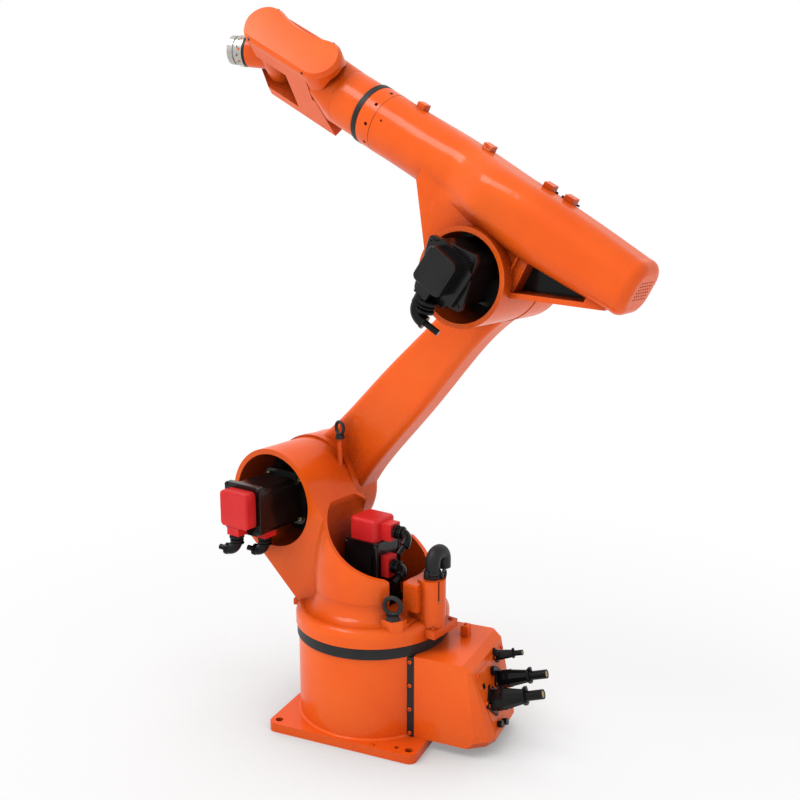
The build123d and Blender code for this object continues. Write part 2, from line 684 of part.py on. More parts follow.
# The fork is a round tube that runs into a flat block, wider on the far side than under the cover
v_back = -cover_pitch - 36
v_tip = -cover_pitch - 8
tube_end = -cover_pitch - 44
fork = x_disc(roll_tube_r, roll_back + wrist_ring_w, tube_end)
fork += loft(
    [
        roll_section(tube_end, -roll_tube_r, roll_tube_r, roll_tube_r + 0.1, roll_tube_r - 0.3),
        roll_section(-cover_pitch, -far_out + 4, near_cheek_out - 9, near_half_w + 2, 20),
    ]
)
trapezoid = Plane(origin=(v_back, 0, 0), z_dir=(1, 0, 0), x_dir=(0, 1, 0)) * make_face(
    Polyline(
        (-far_out, -far_half_w),
        (near_cheek_out, -near_half_w),
        (near_cheek_out, near_half_w),
        (-far_out, far_half_w),
        (-far_out, -far_half_w),
    )
)
cheek_front = 42.0
fork_block = extrude(trapezoid, cheek_front - v_back)
plan = make_face(
    Polyline(
        (v_back, near_cheek_out),
        (v_tip, 15),
        (v_back, -far_out),
        (cheek_front, -far_out),
        (cheek_front, -fork_half_gap),
        (-web_front, -fork_half_gap),
        (-web_front, fork_half_gap),
        (cheek_front, fork_half_gap),
        (cheek_front, near_cheek_out),
        (v_back, near_cheek_out),
    )
)
fork_block &= Pos(0, 0, -60) * extrude(plan, 120)
# Round ends of the near cheek, like the belt cover above it
front_cut = box_between(0, 60, 0, 70, -60, 60) - y_disc(near_half_w, 0, 0, 0, 70)
rear_cut = box_between(v_back - 5, -cover_pitch, 15, 70, -60, 60) - y_disc(near_half_w, -cover_pitch, 0, 15, 70)
fork_block -= front_cut + rear_cut
# Cut corners of the far cheek
for sz in (-1, 1):
    corner_pts = [(-6, sz * 50), (54, sz * 18), (54, sz * 70), (-6, sz * 70)]
    fork_block -= xz_slab(corner_pts, -70, -fork_half_gap)
# The web between the cheeks is cut back so that the hand can bend to its limit
clear_r = neck_r + swing_clear + 1
ca = cos(radians(bend_limit))
sa = sin(radians(bend_limit))
near_pt = (30 * ca - clear_r * sa, 30 * sa + clear_r * ca)
far_pt = (110 * ca - clear_r * sa, 110 * sa + clear_r * ca)
for sz in (-1, 1):
    bevel_pts = [(near_pt[0], sz * near_pt[1]), (far_pt[0], sz * far_pt[1]), (near_pt[0], sz * far_pt[1])]
    fork_block -= xz_slab(bevel_pts, -fork_half_gap, fork_half_gap)
fork += fork_block
rest(frame_roll * fork, "wrist_fork")


# Belt cover of the wrist: two round ends, one straight side and one hollow side, on a bevelled skirt
def cover_outline(grow, y):
    """Outline of the cover in its own plane, grown evenly, at one height."""
    r = cover_r + grow
    lean = radians(14)
    right = Vector(-r * sin(lean), r * cos(lean))
    left = Vector(-cover_pitch + r * sin(lean), r * cos(lean))
    edges = [
        Line((0, -r), (-cover_pitch, -r)),
        ThreePointArc((-cover_pitch, -r), (-cover_pitch - r, 0), left),
        ThreePointArc(left, (-cover_pitch / 2, cover_waist + grow), right),
        ThreePointArc(right, (r * cos(radians(7)), -r * sin(radians(-7))), (0, -r)),
    ]
    plane = Plane(origin=(0, y, 0), z_dir=(0, -1, 0), x_dir=(1, 0, 0))
    return plane * make_face(Curve(children=edges))


bevel_at = cover_offset - cover_bevel
cover = extrude(cover_outline(cover_skirt, near_cheek_out), bevel_at - near_cheek_out, dir=(0, 1, 0))
cover += loft([cover_outline(cover_skirt, bevel_at), cover_outline(0, cover_offset)], ruled=True)
rest(frame_roll * cover, "wrist_belt_cover")

# Hand: a barrel on the bend axis with a round neck
hand = y_disc(hand_r, 0, 0, -fork_half_gap + gap_turn, fork_half_gap - gap_turn)
neck_len = flange_reach - flange_stack
hand += x_disc(neck_r, 0, neck_len)
rest(frame_hand * hand, "wrist_hand")
rest(frame_hand * x_disc(flange_r + 1.5, neck_len, neck_len + seal_w), "hand_seal_ring")

# Tool flange: a turned part in steps, with its bolt circle and centring bore
f0 = neck_len + seal_w + gap_turn
turned = Polyline(
    (0, f0),
    (flange_r + 2, f0),
    (flange_r + 2, f0 + 5),
    (flange_r + 0.6, f0 + 5),
    (flange_r + 0.6, flange_reach - 15),
    (flange_r - 2, flange_reach - 14),
    (flange_r - 2, flange_reach - 11),
    (flange_r, flange_reach - 11),
    (flange_r, flange_reach - 1),
    (flange_r - 1, flange_reach),
    (0, flange_reach),
    (0, f0),
)
to_x = Plane(origin=(0, 0, 0), z_dir=(1, 0, 0), x_dir=(0, 1, 0))
flange = to_x * revolve(make_face(Plane.XZ * turned), Axis.Z)
hole_plane = Plane(origin=(flange_reach - flange_hole_deep, 0, 0), z_dir=(1, 0, 0), x_dir=(0, 1, 0))
flange -= hole_plane * extrude(Circle(flange_bore_r), flange_hole_deep)
for spot in PolarLocations(flange_hole_pcd / 2, 8):
    flange -= hole_plane * spot * extrude(Circle(flange_hole_r), flange_hole_deep)
rest(frame_hand * flange, "tool_flange")
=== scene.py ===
import bpy
import bmesh
import json
from math import radians, cos, sin, acos, pi
from mathutils import Vector, Matrix
from mathutils.bvhtree import BVHTree
from mathutils.interpolate import poly_3d_calc


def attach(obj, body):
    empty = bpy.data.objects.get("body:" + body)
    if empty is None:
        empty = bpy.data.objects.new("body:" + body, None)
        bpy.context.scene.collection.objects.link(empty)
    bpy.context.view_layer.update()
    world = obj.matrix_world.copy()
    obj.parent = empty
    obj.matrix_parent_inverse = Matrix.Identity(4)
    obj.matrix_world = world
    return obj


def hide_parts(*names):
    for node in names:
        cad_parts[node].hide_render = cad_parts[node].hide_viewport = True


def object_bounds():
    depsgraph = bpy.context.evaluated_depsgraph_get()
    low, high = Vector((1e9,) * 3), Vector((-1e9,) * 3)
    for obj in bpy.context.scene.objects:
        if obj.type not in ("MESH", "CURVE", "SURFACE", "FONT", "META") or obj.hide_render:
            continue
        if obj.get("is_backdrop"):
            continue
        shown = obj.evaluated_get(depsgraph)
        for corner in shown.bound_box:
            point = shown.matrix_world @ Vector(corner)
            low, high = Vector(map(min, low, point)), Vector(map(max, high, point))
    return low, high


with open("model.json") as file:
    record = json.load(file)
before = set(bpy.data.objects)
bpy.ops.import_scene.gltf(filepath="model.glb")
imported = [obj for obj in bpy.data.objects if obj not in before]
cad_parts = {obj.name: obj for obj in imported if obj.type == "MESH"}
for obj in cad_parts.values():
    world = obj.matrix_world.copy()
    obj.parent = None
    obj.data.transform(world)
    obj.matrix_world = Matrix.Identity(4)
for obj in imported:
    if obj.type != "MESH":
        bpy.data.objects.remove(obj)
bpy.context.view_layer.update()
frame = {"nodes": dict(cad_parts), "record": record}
scene = bpy.context.scene
mm = 0.001

# Rest pose of the arm in degrees, and the sizes of the CAD part that the pieces sit on, in millimetres
turn, link_tilt, arm_tilt, wrist_roll, hand_bend = -12.0, 133.6, 27.9, 38.5, -25.8
shoulder_reach = 180.0
shoulder_height = 400.0
link_length = 600.0
arm_offset = 120.0
bend_at = 558.0
base_plate_t = 17.0
tube_r = 51.0


def shift(x, z):
    """Move in the arm's middle plane."""
    return Matrix.Translation((x * mm, 0, z * mm))


def tilt(angle):
    """Turn about the axis across the arm; a positive angle lifts."""
    return Matrix.Rotation(radians(-angle), 4, "Y")


# One place on each body: X along the body's own length, Y towards the motors, Z up
ground = Matrix.Identity(4)
table = Matrix.Rotation(radians(turn), 4, "Z")
link = table @ shift(shoulder_reach, shoulder_height) @ tilt(link_tilt)
elbow_x = shoulder_reach + link_length * cos(radians(link_tilt))
elbow_z = shoulder_height + link_length * sin(radians(link_tilt))
arm = table @ shift(elbow_x, elbow_z) @ tilt(arm_tilt)
wrist = arm @ shift(bend_at, arm_offset) @ Matrix.Rotation(radians(wrist_roll), 4, "X")
hand = wrist @ tilt(hand_bend)

# Directions on a body: the near side is that of the motors
near_side, far_side = (0, 1, 0), (0, -1, 0)
rearward, down = (-1, 0, 0), (0, 0, -1)

# Node helpers for procedural materials


def new_material(name):
    """Material with its node tree and its shader."""
    material = bpy.data.materials.new(name)
    material.use_nodes = True
    tree = material.node_tree
    shader = tree.nodes["Principled BSDF"]
    return material, tree, shader


def noise(tree, scale, detail=4.0, rough=0.5):
    """Noise that is fixed to the object."""
    coords = tree.nodes.new("ShaderNodeTexCoord")
    n = tree.nodes.new("ShaderNodeTexNoise")
    n.inputs["Scale"].default_value = scale
    n.inputs["Detail"].default_value = detail
    n.inputs["Roughness"].default_value = rough
    tree.links.new(coords.outputs["Object"], n.inputs["Vector"])
    return n


def ramp(tree, source, stops):
    """Colour ramp through (position, colour) stops."""
    r = tree.nodes.new("ShaderNodeValToRGB")
    elements = r.color_ramp.elements
    for element, (position, colour) in zip((elements[0], elements[1]), (stops[0], stops[-1])):
        element.position = position
        element.color = (*colour, 1)
    for position, colour in stops[1:-1]:
        element = elements.new(position)
        element.color = (*colour, 1)
    tree.links.new(source, r.inputs["Fac"])
    return r


def to_range(tree, source, low, high):
    """A value from 0 to 1 spread over another range."""
    r = tree.nodes.new("ShaderNodeMapRange")
    r.inputs["To Min"].default_value = low
    r.inputs["To Max"].default_value = high
    tree.links.new(source, r.inputs["Value"])
    return r.outputs["Result"]


def maths(tree, operation, a, b):
    """Result of a math node; a and b are numbers or sockets."""
    node = tree.nodes.new("ShaderNodeMath")
    node.operation = operation
    for k, value in enumerate((a, b)):
        if isinstance(value, float):
            node.inputs[k].default_value = value
        else:
            tree.links.new(value, node.inputs[k])
    return node.outputs["Value"]


def bump(tree, shader, source, strength, distance):
    """Relief in the shader, a distance in metres high."""
    b = tree.nodes.new("ShaderNodeBump")
    b.inputs["Strength"].default_value = strength
    b.inputs["Distance"].default_value = distance
    tree.links.new(source, b.inputs["Height"])
    tree.links.new(b.outputs["Normal"], shader.inputs["Normal"])


def srgb(r, g, b):
    """Linear colour from the 0 to 255 values of a screen colour."""
    def linear(c):
        c /= 255.0
        return c / 12.92 if c <= 0.04045 else ((c + 0.055) / 1.055) ** 2.4
    return (linear(r), linear(g), linear(b))


def paint(name, base, darker, lighter, rough=(0.3, 0.4), coat=0.36, full_shade_at=0.34, no_shade_at=0.99):
    """Painted casting: soft mottling, fine grain, painted shade with a dark grain where other parts close
    it in, and a clear coat.
    """
    material, tree, shader = new_material(name)
    shader.inputs["Specular IOR Level"].default_value = 0.05
    mottle = noise(tree, 9.0, 3.0)
    colour = ramp(tree, mottle.outputs["Fac"], [(0.3, darker), (0.5, base), (0.72, lighter)])
    # Painted shade: ambient occlusion darkens the colour towards a dark brown where other parts are close
    shade = tree.nodes.new("ShaderNodeAmbientOcclusion")
    shade.samples = 6
    shade.inputs["Distance"].default_value = 0.22
    soft = tree.nodes.new("ShaderNodeMapRange")
    soft.inputs["From Min"].default_value = full_shade_at
    soft.inputs["From Max"].default_value = no_shade_at
    tree.links.new(shade.outputs["AO"], soft.inputs["Value"])
    lit = soft.outputs["Result"]
    # A dark grain that shows in the painted shade only
    shade_grain = to_range(tree, noise(tree, 760.0, 1.0).outputs["Fac"], -1.3, 1.3)
    hidden = maths(tree, "SUBTRACT", 1.0, lit)
    lit = maths(tree, "ADD", lit, maths(tree, "MULTIPLY", shade_grain, hidden))
    # The painted shade colour: the base colour darkened to a brown
    deep = tree.nodes.new("ShaderNodeMix")
    deep.data_type = "RGBA"
    deep.inputs[6].default_value = (*[c * share for c, share in zip(base, (0.3, 0.25, 0.26))], 1)
    tree.links.new(lit, deep.inputs[0])
    tree.links.new(colour.outputs["Color"], deep.inputs[7])
    tree.links.new(deep.outputs[2], shader.inputs["Base Color"])
    patches = noise(tree, 38.0, 5.0, 0.6)
    tree.links.new(to_range(tree, patches.outputs["Fac"], *rough), shader.inputs["Roughness"])
    grain = noise(tree, 620.0, 2.0)
    bump(tree, shader, grain.outputs["Fac"], 0.035, 0.0006)
    shader.inputs["Coat Weight"].default_value = coat
    shader.inputs["Coat Roughness"].default_value = 0.16
    return material


def plastic(name, base, lighter, rough=(0.3, 0.45), gloss=0.3):
    """Plastic, rubber or dark enamel with a fine grain."""
    material, tree, shader = new_material(name)
    shader.inputs["Specular IOR Level"].default_value = gloss
    mottle = noise(tree, 30.0, 4.0)
    colour = ramp(tree, mottle.outputs["Fac"], [(0.35, base), (0.7, lighter)])
    tree.links.new(colour.outputs["Color"], shader.inputs["Base Color"])
    tree.links.new(to_range(tree, mottle.outputs["Fac"], *rough), shader.inputs["Roughness"])
    grain = noise(tree, 900.0, 2.0)
    bump(tree, shader, grain.outputs["Fac"], 0.06, 0.0004)
    return material


def steel(name, base, lighter, rough=(0.25, 0.4)):
    """Turned or plated metal with fine lines along X."""
    material, tree, shader = new_material(name)
    coords = tree.nodes.new("ShaderNodeTexCoord")
    stretch = tree.nodes.new("ShaderNodeMapping")
    stretch.inputs["Scale"].default_value = (1.0, 60.0, 60.0)
    tree.links.new(coords.outputs["Object"], stretch.inputs["Vector"])
    lines = tree.nodes.new("ShaderNodeTexNoise")
    lines.inputs["Scale"].default_value = 12.0
    lines.inputs["Detail"].default_value = 3.0
    tree.links.new(stretch.outputs["Vector"], lines.inputs["Vector"])
    colour = ramp(tree, lines.outputs["Fac"], [(0.3, base), (0.7, lighter)])
    tree.links.new(colour.outputs["Color"], shader.inputs["Base Color"])
    tree.links.new(to_range(tree, lines.outputs["Fac"], *rough), shader.inputs["Roughness"])
    bump(tree, shader, lines.outputs["Fac"], 0.08, 0.0003)
    shader.inputs["Metallic"].default_value = 0.9
    return material


# Materials of the record's slots
tones = (srgb(255, 102, 26), srgb(250, 96, 22), srgb(255, 108, 32))
blacks = ((0.004, 0.004, 0.004), (0.008, 0.008, 0.008))
mats = {
    "orange_paint": paint("orange_lacquer", *tones),
    "black_seal": plastic("seal_rubber", (0.011, 0.011, 0.012), (0.019, 0.019, 0.02), (0.42, 0.55)),
    "motor_black": plastic("motor_enamel", (0.005, 0.004, 0.004), (0.009, 0.008, 0.008), (0.14, 0.24)),
    "red_cap": plastic("red_cap_plastic", srgb(218, 36, 38), srgb(228, 46, 46), (0.3, 0.4), gloss=0.25),
    "plug_black": plastic("plug_plastic", *blacks, (0.1, 0.18), gloss=0.16),
    "eye_black": plastic("eye_steel_black", (0.012, 0.012, 0.013), (0.022, 0.022, 0.024), (0.35, 0.5)),
    "flange_steel": steel("turned_steel", (0.42, 0.4, 0.37), (0.6, 0.58, 0.55)),
}
# The floor closes the base in, so the painted shade of its paint sets in later than that of the arm
low_orange = paint("base_lacquer", *tones, full_shade_at=0.04, no_shade_at=0.72)
slot_of = {s["node"]: s["material_slot"] for s in frame["record"]["subparts"]}
for node, obj in frame["nodes"].items():
    low = node in ("base_frame", "base_stop_block", "connection_box")
    obj.data.materials.clear()
    obj.data.materials.append(low_orange if low else mats[slot_of[node]])

# Materials of the added pieces
orange = mats["orange_paint"]
inner_tones = (srgb(250, 98, 26), srgb(244, 92, 22), srgb(255, 104, 32))
inner = paint("inner_lacquer", *inner_tones, rough=(0.5, 0.6), coat=0.0)
black = mats["plug_black"]
motor = mats["motor_black"]
zinc = steel("zinc_screws", (0.34, 0.27, 0.12), (0.5, 0.42, 0.22))
oxide = plastic("oxide_screws", (0.01, 0.01, 0.011), (0.02, 0.02, 0.022), (0.25, 0.4), gloss=0.4)
# Flat black that stands for the painted shade inside holes, slots and pockets, and for the dark line of a
# seam
dark = plastic("seam_and_hole_shade", *blacks, (0.6, 0.8), gloss=0.05)
core = steel("cable_core", (0.36, 0.25, 0.1), (0.5, 0.36, 0.16), (0.35, 0.5))

# Small shapes, in millimetres, as lists of points and faces
corners = ((1, 1), (-1, 1), (-1, -1), (1, -1))


def around(count, first=0.0):
    """Angles of equal steps round a circle, the first at a share of a step."""
    return [2 * pi * (k + first) / count for k in range(count)]


def level(outline, z):
    """Flat outline lifted to a height."""
    return [(x, y, z) for x, y in outline]


def band(k, n):
    """Faces between ring k and the next, with n points to a ring."""
    return [(k * n + i, k * n + (i + 1) % n, k * n + n + (i + 1) % n, k * n + n + i) for i in range(n)]


def skin(n, rings):
    """Faces of a closed solid through rings of n points each."""
    top = (rings - 1) * n
    faces = [tuple(reversed(range(n))), tuple(range(top, top + n))]
    for k in range(rings - 1):
        faces += band(k, n)
    return faces


def lofted(rings):
    """Closed solid through rings of as many points each."""
    return [point for ring in rings for point in ring], skin(len(rings[0]), len(rings))


def turned(profile, n=28):
    """Round shape about Z from (radius, height) pairs; a radius of 0 closes an end."""
    verts, rings = [], []
    for r, z in profile:
        if r == 0:
            rings.append([len(verts)] * n)
            verts.append((0, 0, z))
        else:
            rings.append(list(range(len(verts), len(verts) + n)))
            verts += [(r * cos(a), r * sin(a), z) for a in around(n)]
    faces = []
    for a, b in zip(rings, rings[1:]):
        for i in range(n):
            j = (i + 1) % n
            faces.append(tuple(dict.fromkeys((a[i], a[j], b[j], b[i]))))
    return verts, [f for f in faces if len(f) > 2]


def hexagon_r(angle, half_flat):
    """Distance from the middle of a hexagon to its side at an angle."""
    return half_flat / cos((angle + pi / 6) % (pi / 3) - pi / 6)


def cap_screw(r, h):
    """Socket head screw with a hexagon socket."""
    n = 24
    chamfer = 0.14 * r
    key = 0.52 * r
    loops = [[(r, 0)] * n, [(r, h - chamfer)] * n, [(r - chamfer, h)] * n]
    loops.append([(hexagon_r(a, key), h) for a in around(n)])
    loops.append([(hexagon_r(a, key * 0.96), h - r * 0.7) for a in around(n)])
    verts = []
    for loop in loops:
        verts += [(q * cos(a), q * sin(a), z) for a, (q, z) in zip(around(n), loop)]
    faces = []
    for k in range(len(loops) - 1):
        faces += band(k, n)
    faces.append(tuple(4 * n + i for i in range(n)))
    return verts, faces


def rounded(w, d, corner, n=6):
    """Outline of a rounded rectangle round the origin."""
    points = []
    for k, (x, y) in enumerate(corners):
        for i in range(n + 1):
            a = (k + i / n) * pi / 2
            points.append((x * (w / 2 - corner) + corner * cos(a), y * (d / 2 - corner) + corner * sin(a)))
    return points


def plate(w, d, h, corner, edge=0.8):
    """Rounded rectangular plate with a bevelled upper edge."""
    low = rounded(w, d, corner)
    top = rounded(w - 2 * edge, d - 2 * edge, max(corner - edge, 0.1))
    return lofted([level(low, 0), level(low, h - edge), level(top, h)])


def slab(outline, h, edge=0.6):
    """Flat plate of any convex outline with a bevelled upper edge."""
    n = len(outline)
    cx, cy = sum(p[0] for p in outline) / n, sum(p[1] for p in outline) / n
    top = []
    for x, y in outline:
        away = max(((x - cx) ** 2 + (y - cy) ** 2) ** 0.5, 1)
        top.append((x - (x - cx) / away * edge, y - (y - cy) / away * edge))
    return lofted([level(outline, 0), level(outline, h - edge), level(top, h)])


def toothed(r, deep, h, teeth=26):
    """Knurled ring of a clamp nut."""
    n = teeth * 2
    rim = [r if i % 2 else r - deep for i in range(n)]
    rings = []
    for z, k in ((0, 0.93), (h * 0.12, 1), (h * 0.88, 1), (h, 0.93)):
        rings.append([(q * k * cos(a), q * k * sin(a), z) for q, a in zip(rim, around(n))])
    return lofted(rings)


def nut(r, h, bevel, bevel_h):
    """Hexagon nut with a bevelled upper edge."""
    return turned([(0, 0), (r, 0), (r, h - bevel_h), (r - bevel, h), (0, h)], 6)


def hoop(r, wire, n=40, sides=12):
    """Round wire bent into a ring about Z."""
    verts, faces = [], []
    for a in around(n):
        for b in around(sides):
            q = r + wire * cos(b)
            verts.append((q * cos(a), q * sin(a), wire * sin(b)))
    for i in range(n):
        j = (i + 1) % n
        for k in range(sides):
            m = (k + 1) % sides
            faces.append((i * sides + k, j * sides + k, j * sides + m, i * sides + m))
    return verts, faces


def spot(body_place, at, out=(0, 0, 1), spin=0.0, side=None):
    """Place on a body, in millimetres, with Z along out and X as near as can be to side."""
    z = Vector(out).normalized()
    s = Vector(side) if side else (Vector((0, 0, 1)) if abs(z.z) < 0.9 else Vector((1, 0, 0)))
    x = (s - z * s.dot(z)).normalized()
    facing = Matrix((x, z.cross(x), z)).transposed().to_4x4()
    spun = Matrix.Rotation(radians(spin), 4, "Z")
    return body_place @ Matrix.Translation(Vector(at) * mm) @ facing @ spun


def bolt_circle(body_place, middle, r, angles, screw, out):
    """Screws on a circle across the joint axis, which is the body's Y."""
    x, y, z = middle
    return [(screw, spot(body_place, (x + r * cos(a), y, z + r * sin(a)), out)) for a in angles]


def four_corners(body_place, middle, half_w, half_h, shape):
    """The same shape at four corners of a face that looks along the body's Y."""
    x, y, z = middle
    return [(shape, spot(body_place, (x + i * half_w, y, z + k * half_h), near_side)) for i, k in corners]


def shaded(mesh, smooth):
    """Smooth shading, with sharp edges above an angle in degrees."""
    mesh.polygons.foreach_set("use_smooth", [True] * len(mesh.polygons))
    mesh.set_sharp_from_angle(angle=radians(smooth))


def outward(mesh):
    """Turns the faces of a mesh outward."""
    tool = bmesh.new()
    tool.from_mesh(mesh)
    bmesh.ops.recalc_face_normals(tool, faces=tool.faces)
    tool.to_mesh(mesh)
    tool.free()


def new_object(name, data):
    """Object in the scene round a mesh, a lamp or a camera."""
    obj = bpy.data.objects.new(name, data)
    scene.collection.objects.link(obj)
    return obj


def piece(name, body, material, parts, smooth=32.0):
    """Joins small shapes into one piece that rides on a body."""
    verts, faces = [], []
    for (points, polygons), place in parts:
        k = len(verts)
        verts += [place @ (Vector(p) * mm) for p in points]
        faces += [tuple(i + k for i in f) for f in polygons]
    mesh = bpy.data.meshes.new(name)
    mesh.from_pydata(verts, [], faces)
    mesh.validate()
    outward(mesh)
    shaded(mesh, smooth)
    mesh.materials.append(material)
    obj = new_object(name, mesh)
    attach(obj, body)
    return obj


# Pieces that replace a CAD part with a copy of it, cut or bent
weld = 0.01 * mm


def keep_normals(mesh, source):
    """Gives the faces that a change left alone the smooth shading of the CAD part."""
    source.calc_loop_triangles()
    points = [v.co for v in source.vertices]
    triangles = [tuple(t.vertices) for t in source.loop_triangles]
    loops = [tuple(t.loops) for t in source.loop_triangles]
    tree = BVHTree.FromPolygons(points, triangles)
    old = [c.vector.copy() for c in source.corner_normals]
    new = [c.vector.copy() for c in mesh.corner_normals]
    for face in mesh.polygons:
        found, normal, k = tree.find_nearest(face.center, 2 * weld)[:3]
        if found is None or normal.dot(face.normal) < 0.9:
            continue
        triangle = [points[i] for i in triangles[k]]
        for i in face.loop_indices:
            at = mesh.vertices[mesh.loops[i].vertex_index].co
            shares = poly_3d_calc(triangle, at)
            mixed = sum((old[n] * share for n, share in zip(loops[k], shares)), Vector((0, 0, 0)))
            new[i] = mixed.normalized() if mixed.length > 0.1 else new[i]
    mesh.normals_split_custom_set(new)


def in_place_of(node, body, obj):
    """Finishes a changed copy of a CAD part: shading, body, and hiding the node that it replaces."""
    shaded(obj.data, 32)
    keep_normals(obj.data, frame["nodes"][node].data)
    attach(obj, body)
    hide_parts(node)


def carved(name, node, body, cutters):
    """Copy of a CAD part with shapes cut out of it, in place of that part."""
    source = frame["nodes"][node]
    obj = new_object(name, source.data.copy())
    obj.matrix_world = source.matrix_world
    tool = bmesh.new()
    tool.from_mesh(obj.data)
    bmesh.ops.remove_doubles(tool, verts=tool.verts, dist=weld)
    tool.to_mesh(obj.data)
    tool.free()
    helpers = []
    for verts, faces in cutters:
        mesh = bpy.data.meshes.new("cutter")
        mesh.from_pydata(verts, [], faces)
        outward(mesh)
        mesh.materials.append(inner)
        helper = new_object("cutter", mesh)
        helpers.append(helper)
        cut = obj.modifiers.new("cut", "BOOLEAN")
        cut.operation = "DIFFERENCE"
        cut.solver = "EXACT"
        cut.material_mode = "TRANSFER"
        cut.object = helper
    bpy.context.view_layer.update()
    solid = bpy.data.meshes.new_from_object(obj.evaluated_get(bpy.context.evaluated_depsgraph_get()))
    obj.modifiers.clear()
    obj.data = solid
    for helper in helpers:
        bpy.data.objects.remove(helper)
    in_place_of(node, body, obj)


# Turntable casting: its domed body hollowed to a thin wall round the upright motor
body_r = 107.0
dome_top_r = 84.0
dome_swell = 3.5
dome_low = 290.6
dome_rise = 119.4
dome_wall = 7.5
hollow_floor = 227.7
front_wall_x = 49.0
front_wall_most = 70.0


def hollow_ring(z, n=49):
    """One level of the hollow: a circle inside the domed wall, cut off before the front wall."""
    t = max(0.0, (z - dome_low) / dome_rise)
    r = body_r - (body_r - dome_top_r) * t + 4 * dome_swell * t * (1 - t) - dome_wall
    stop = min(front_wall_x + 30 * max(0.0, (z - 290) / 110) ** 2, front_wall_most)
    start = acos(stop / r)
    angles = [start + (2 * pi - 2 * start) * i / (n - 1) for i in range(n)]
    return [(r * cos(a), r * sin(a), z) for a in angles]


def table_cutter(rings):
    """Cutter through rings that are given on the turntable."""
    points, faces = lofted(rings)
    return [table @ (Vector(p) * mm) for p in points], faces


hollow_levels = [hollow_floor, 250, 275, dome_low] + [dome_low + dome_rise * k / 8 for k in range(1, 9)]
gap_outline = ((-130, 40), (-62, 40), (-62, 64), (-130, 64))
gap_rings = [level(gap_outline, z) for z in (238.2, 330)]
cutters = [table_cutter([hollow_ring(z) for z in hollow_levels]), table_cutter(gap_rings)]
carved("turntable_casting_shell", "turntable_casting", "turntable", cutters)

# Forearm casting: a rounder neck where the tube swells into the housing, on the motor's side
neck_from = -40
neck_step = 7
neck_slices = 34
neck_low = 82
tube_side = 51.2
housing_side = 80.0
swell_from, swell_length = 118, 96


def eased(t):
    """Soft step from 0 to 1."""
    t = max(0.0, min(1.0, t))
    return t * t * (3 - 2 * t)


def necked(name, node, body):
    """Copy of the forearm casting, its near side drawn in at the neck and let out at the housing."""
    source = frame["nodes"][node]
    mesh = source.data.copy()
    into = arm.inverted() @ source.matrix_world
    back = into.inverted()
    tool = bmesh.new()
    tool.from_mesh(mesh)
    bmesh.ops.remove_doubles(tool, verts=tool.verts, dist=weld)
    axis = (back.to_3x3() @ Vector((1, 0, 0))).normalized()
    slices = [neck_from + neck_step * k for k in range(neck_slices)]
    for x in slices:
        everything = tool.verts[:] + tool.edges[:] + tool.faces[:]
        at = back @ Vector((x * mm, 0, 0))
        bmesh.ops.bisect_plane(tool, geom=everything, plane_co=at, plane_no=axis)
    points = [into @ v.co * 1000 for v in tool.verts]
    middle = (arm_offset - 20, arm_offset + 20)
    widths = []
    for x in slices:
        widths.append(max(p.y for p in points if abs(p.x - x) < 0.5 and middle[0] < p.z < middle[1]))
    for v, p in zip(tool.verts, points):
        k = (p.x - neck_from) / neck_step
        if p.y <= 0 or k < 0 or k >= neck_slices - 1 or p.z < neck_low:
            continue
        i = int(k)
        width = widths[i] + (widths[i + 1] - widths[i]) * (k - i)
        wanted = tube_side + (housing_side - tube_side) * eased((swell_from - p.x) / swell_length)
        fade = eased((p.x - neck_from) / 30) * eased((190 - p.x) / 20) * eased((p.z - neck_low) / 14)
        v.co = back @ (Vector((p.x, p.y + (wanted - width) * fade * p.y / width, p.z)) * mm)
    tool.to_mesh(mesh)
    tool.free()
    obj = new_object(name, mesh)
    obj.matrix_world = source.matrix_world
    in_place_of(node, body, obj)


necked("forearm_casting_neck", "forearm_casting", "forearm")

# Base: screws of the joint strips, rims of the bolt holes and screws on plate and box
strip_x, strip_y = -112.2, 85.8
hole_at = 129
parts = []
for side in (1, -1):
    for z in (24.3, 69.7, 114.6, 159.1):
        parts.append((cap_screw(3.4, 2.6), spot(ground, (strip_x, side * strip_y, z), (0, side, 0))))
piece("strip_screws", "base", low_orange, parts)
hole_rim = turned([(7.2, -1.5), (7.2, 0.3), (10.0, 0.3), (10.6, -0.6)])
parts = [(hole_rim, spot(ground, (i * hole_at, k * hole_at, base_plate_t))) for i, k in corners]
piece("foot_hole_rims", "base", low_orange, parts)
parts = [(cap_screw(3.0, 2.6), spot(ground, (-64.6, y, base_plate_t))) for y in (140.0, -140.0)]
parts.append((cap_screw(3.2, 2.0), spot(ground, (-170, -37, 190))))
piece("plate_screws", "base", low_orange, parts)

# Sloping back of the connection box, with its panel, screws, and a black plate of painted shade for a
# square hole
back_top_x = -225.0
back_run = 37.0
back_low = 30.0
back_rise = 128.0
panel_t = 1.4
slope_out = Vector((-back_rise, 0.0, back_run)).normalized()
slope_up = Vector((back_run, 0.0, back_rise)).normalized()


def on_slope(y, share, lift=0.0):
    """Point on the sloping back of the connection box, by its share of the height."""
    x = back_top_x - back_run * (1 - share)
    return Vector((x, y, back_low + back_rise * share)) + slope_out * lift


panel_edge = [(-58, -48), (-58, 48), (57, 70), (57, -70)]
panel = (slab(panel_edge, panel_t), spot(ground, on_slope(0, 0.5), slope_out, side=slope_up))
piece("box_back_panel", "base", low_orange, [panel])
parts = []
for share, half in ((0.1, 42), (0.5, 55), (0.9, 62)):
    for y in (half, -half):
        parts.append((cap_screw(3.2, 2.6), spot(ground, on_slope(y, share, panel_t - 0.2), slope_out)))
piece("panel_screws", "base", low_orange, parts)
# Painted shade: a thin black plate stands for the square hole
square_at = on_slope(50, 0.72, panel_t - 0.1)
square = (plate(9, 9, 1.2, 0.8, 0.3), spot(ground, square_at, slope_out, side=slope_up))
piece("panel_square_hole_shade", "base", dark, [square])


